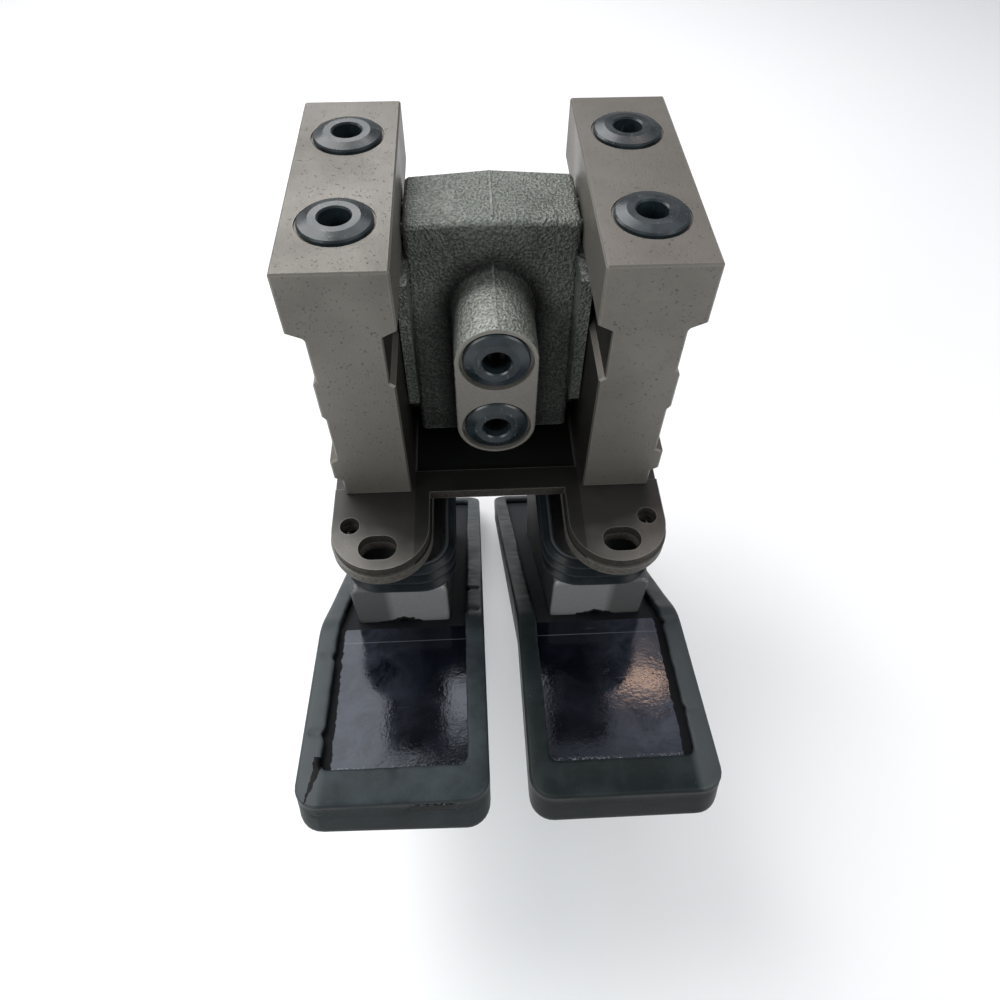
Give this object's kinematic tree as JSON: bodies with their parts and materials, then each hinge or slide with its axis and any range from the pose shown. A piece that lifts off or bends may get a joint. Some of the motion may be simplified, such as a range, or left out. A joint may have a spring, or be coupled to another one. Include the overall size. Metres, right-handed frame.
{
  "type": "twin foot pedal hydraulic pilot valve",
  "caption": "Twin rocking foot pedals on a flanged hydraulic pilot valve: two ported blocks joined by a cast supply manifold, with rubber bellows and padded pedal plates.",
  "frame": {"origin": "centre of the four-slot bolt pattern on the flange's seat face", "axes": "+Z from the flange towards the ports on top of the two blocks (the pedals hang below, so in service the part is turned over and the pedals are on top); -Y towards the supply ports and the pedal heels; +X towards the right-hand pedal as seen from the supply ports"},
  "size_m": [0.17, 0.2801, 0.3321],
  "materials": {
    "block_steel": "machined and phosphated, warm grey, fine dark pits",
    "cast_iron": "as cast, coarse grain, dark greenish grey",
    "plate_steel": "ground face, phosphated, rough edge",
    "plug_plastic": "moulded black, satin",
    "bellows_rubber": "moulded black rubber, slight sheen",
    "pad_rubber": "thick black rubber, dull, scuffed",
    "painted_steel": "gloss black paint, fine scratches",
    "bright_steel": "ground",
    "spring_steel": "drawn wire",
    "fastener_steel": "black oxide",
    "bronze": "sintered bronze",
    "seal_rubber": "moulded seal"
  },
  "bodies": {
    "valve_body": {"left_valve_block": "block_steel", "left_port_plugs": "plug_plastic", "left_cover_plate": "plate_steel", "left_shaft_bushes": "bronze", "left_bellows": "bellows_rubber", "left_front_rod_guide": "bright_steel", "left_front_return_spring": "spring_steel", "left_rear_rod_guide": "bright_steel", "left_rear_return_spring": "spring_steel", "right_valve_block": "block_steel", "right_port_plugs": "plug_plastic", "right_cover_plate": "plate_steel", "right_shaft_bushes": "bronze", "right_bellows": "bellows_rubber", "right_front_rod_guide": "bright_steel", "right_front_return_spring": "spring_steel", "right_rear_rod_guide": "bright_steel", "right_rear_return_spring": "spring_steel", "centre_manifold": "cast_iron", "supply_port_plugs": "plug_plastic", "gallery_o_rings": "seal_rubber", "flange_plate": "plate_steel", "tie_bolts": "fastener_steel", "tie_bolt_nuts": "fastener_steel", "tie_bolt_washers": "fastener_steel", "cover_screws": "fastener_steel", "rod_seals": "seal_rubber", "guide_o_rings": "seal_rubber"},
    "left_pedal": {"left_cam": "bright_steel", "left_cam_shaft": "bright_steel", "left_pedal_bracket": "painted_steel", "left_pedal_plate": "painted_steel", "left_pedal_pad": "pad_rubber", "left_cam_bolts": "fastener_steel", "left_plate_bolts": "fastener_steel"},
    "left_front_rod": {"left_front_push_rod": "bright_steel", "left_front_spring_seat": "bright_steel", "left_front_balance_spring": "spring_steel"},
    "left_front_spool": {"left_front_spool": "bright_steel"},
    "left_rear_rod": {"left_rear_push_rod": "bright_steel", "left_rear_spring_seat": "bright_steel", "left_rear_balance_spring": "spring_steel"},
    "left_rear_spool": {"left_rear_spool": "bright_steel"},
    "right_pedal": {"right_cam": "bright_steel", "right_cam_shaft": "bright_steel", "right_pedal_bracket": "painted_steel", "right_pedal_plate": "painted_steel", "right_pedal_pad": "pad_rubber", "right_cam_bolts": "fastener_steel", "right_plate_bolts": "fastener_steel"},
    "right_front_rod": {"right_front_push_rod": "bright_steel", "right_front_spring_seat": "bright_steel", "right_front_balance_spring": "spring_steel"},
    "right_front_spool": {"right_front_spool": "bright_steel"},
    "right_rear_rod": {"right_rear_push_rod": "bright_steel", "right_rear_spring_seat": "bright_steel", "right_rear_balance_spring": "spring_steel"},
    "right_rear_spool": {"right_rear_spool": "bright_steel"}
  },
  "joints": [
    {"name": "left_pedal_tilt", "type": "hinge", "parent": "valve_body", "child": "left_pedal", "pos_m": [-0.05, 0, -0.02], "axis": [1, 0, 0], "range_deg": [-10, 10], "stiffness_Nm_per_rad": 30, "deforming": ["left_bellows"]},
    {"name": "left_front_rod_travel", "type": "slide", "parent": "valve_body", "child": "left_front_rod", "axis": [0, 0, 1], "range_m": [-0.0055, 0.0055], "deforming": ["left_front_return_spring", "left_front_balance_spring"]},
    {"name": "left_front_spool_travel", "type": "slide", "parent": "valve_body", "child": "left_front_spool", "axis": [0, 0, 1], "range_m": [-0.002, 0.002]},
    {"name": "left_rear_rod_travel", "type": "slide", "parent": "valve_body", "child": "left_rear_rod", "axis": [0, 0, 1], "range_m": [-0.0055, 0.0055], "deforming": ["left_rear_return_spring", "left_rear_balance_spring"]},
    {"name": "left_rear_spool_travel", "type": "slide", "parent": "valve_body", "child": "left_rear_spool", "axis": [0, 0, 1], "range_m": [-0.002, 0.002]},
    {"name": "right_pedal_tilt", "type": "hinge", "parent": "valve_body", "child": "right_pedal", "pos_m": [0.05, 0, -0.02], "axis": [1, 0, 0], "range_deg": [-10, 10], "stiffness_Nm_per_rad": 30, "deforming": ["right_bellows"]},
    {"name": "right_front_rod_travel", "type": "slide", "parent": "valve_body", "child": "right_front_rod", "axis": [0, 0, 1], "range_m": [-0.0055, 0.0055], "deforming": ["right_front_return_spring", "right_front_balance_spring"]},
    {"name": "right_front_spool_travel", "type": "slide", "parent": "valve_body", "child": "right_front_spool", "axis": [0, 0, 1], "range_m": [-0.002, 0.002]},
    {"name": "right_rear_rod_travel", "type": "slide", "parent": "valve_body", "child": "right_rear_rod", "axis": [0, 0, 1], "range_m": [-0.0055, 0.0055], "deforming": ["right_rear_return_spring", "right_rear_balance_spring"]},
    {"name": "right_rear_spool_travel", "type": "slide", "parent": "valve_body", "child": "right_rear_spool", "axis": [0, 0, 1], "range_m": [-0.002, 0.002]}
  ],
  "couplings": [
    {"joint": "left_front_rod_travel", "follows": "left_pedal_tilt", "m_per_rad": -0.0285},
    {"joint": "left_front_spool_travel", "follows": "left_pedal_tilt", "m_per_rad": -0.0095},
    {"joint": "left_rear_rod_travel", "follows": "left_pedal_tilt", "m_per_rad": 0.0285},
    {"joint": "left_rear_spool_travel", "follows": "left_pedal_tilt", "m_per_rad": 0.0095},
    {"joint": "right_front_rod_travel", "follows": "right_pedal_tilt", "m_per_rad": -0.0285},
    {"joint": "right_front_spool_travel", "follows": "right_pedal_tilt", "m_per_rad": -0.0095},
    {"joint": "right_rear_rod_travel", "follows": "right_pedal_tilt", "m_per_rad": 0.0285},
    {"joint": "right_rear_spool_travel", "follows": "right_pedal_tilt", "m_per_rad": 0.0095}
  ]
}
